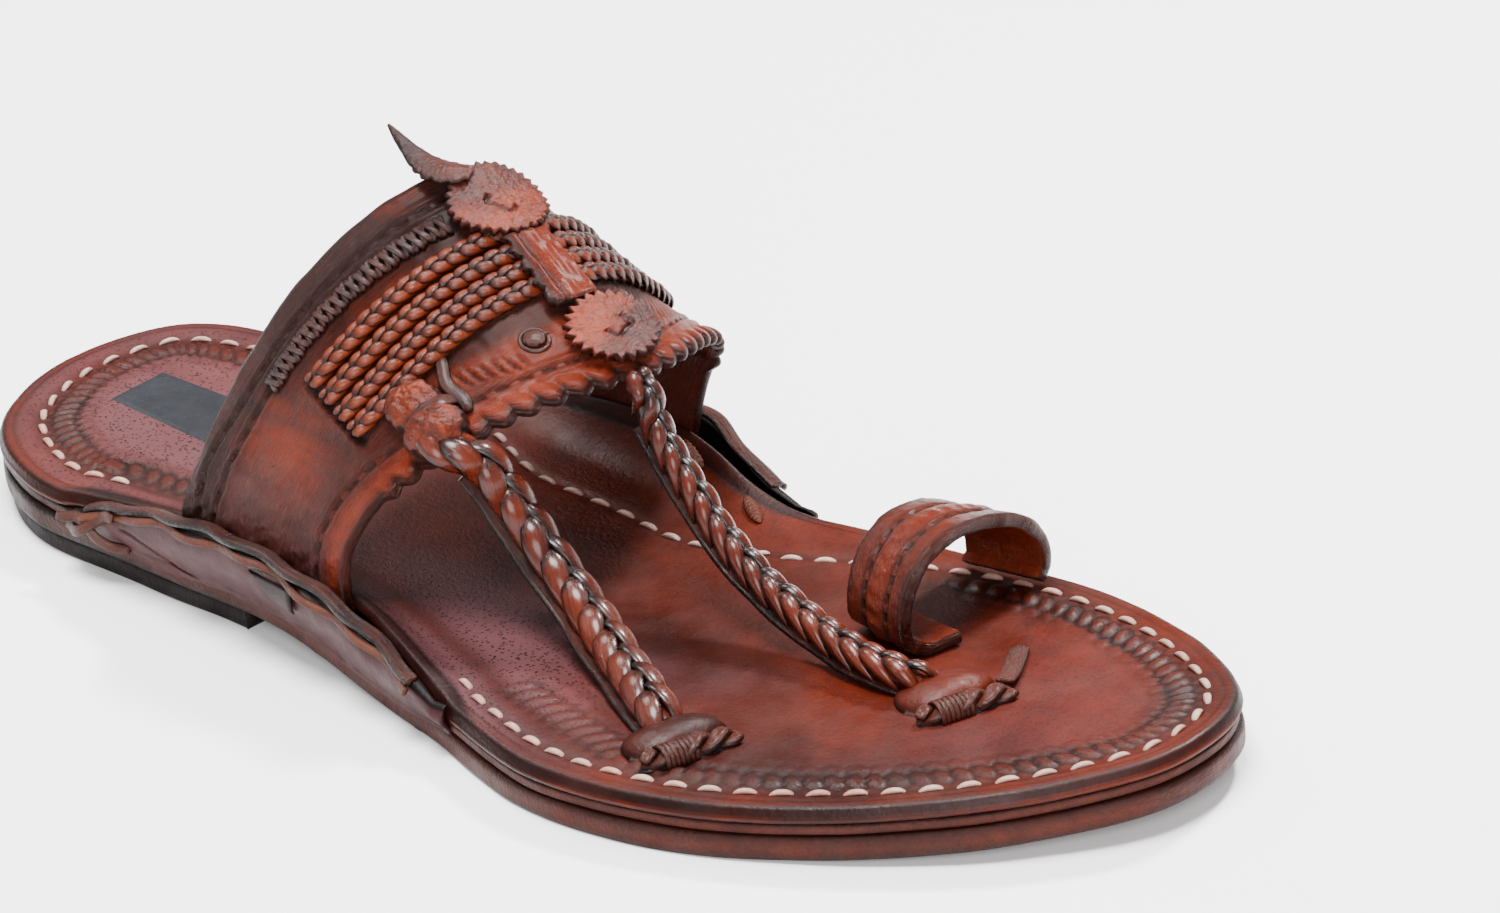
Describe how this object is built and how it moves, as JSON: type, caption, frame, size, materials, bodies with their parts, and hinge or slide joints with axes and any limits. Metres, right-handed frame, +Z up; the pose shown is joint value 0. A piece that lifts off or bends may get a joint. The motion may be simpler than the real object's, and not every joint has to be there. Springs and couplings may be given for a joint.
{
  "type": "kolhapuri sandal",
  "caption": "Right flat leather sandal with a stitched sandwich sole, an arched instep band with plaits and rosettes, a toe loop and two long braids.",
  "frame": {"origin": "on the ground under the middle of the sandal's box", "axes": "+Z up, -Y towards the toe, -X towards the outer side of a right foot"},
  "size_m": [0.1074, 0.287, 0.0868],
  "materials": {
    "insole_leather": "oiled, burnished towards the edge",
    "sole_edge_leather": "dark waxed edge",
    "heel_leather": "dark waxed edge",
    "ear_leather": "smooth, greyed brown",
    "band_leather": "brushed tan, glossy, burnished edges",
    "plait_leather": "glossy tan thongs",
    "braid_leather": "glossy dark tan thongs",
    "rosette_leather": "grained, greyed tan"
  },
  "bodies": {
    "root": {"outsole": "sole_edge_leather", "midsole": "sole_edge_leather", "insole": "insole_leather", "heel_block": "heel_leather", "ear_outer_lateral": "ear_leather", "ear_outer_medial": "ear_leather", "instep_band": "band_leather", "plait_1": "plait_leather", "plait_2": "plait_leather", "plait_3": "plait_leather", "plait_4": "plait_leather", "spine_strap": "band_leather", "rosette_rear": "rosette_leather", "rosette_front": "rosette_leather", "horn_tab": "rosette_leather", "knob_lateral": "braid_leather", "toe_loop": "band_leather", "braid_lateral": "braid_leather", "strip_lateral": "band_leather", "braid_medial": "braid_leather", "strip_medial": "band_leather", "anchor_lateral": "rosette_leather", "anchor_medial": "rosette_leather"}
  },
  "joints": []
}
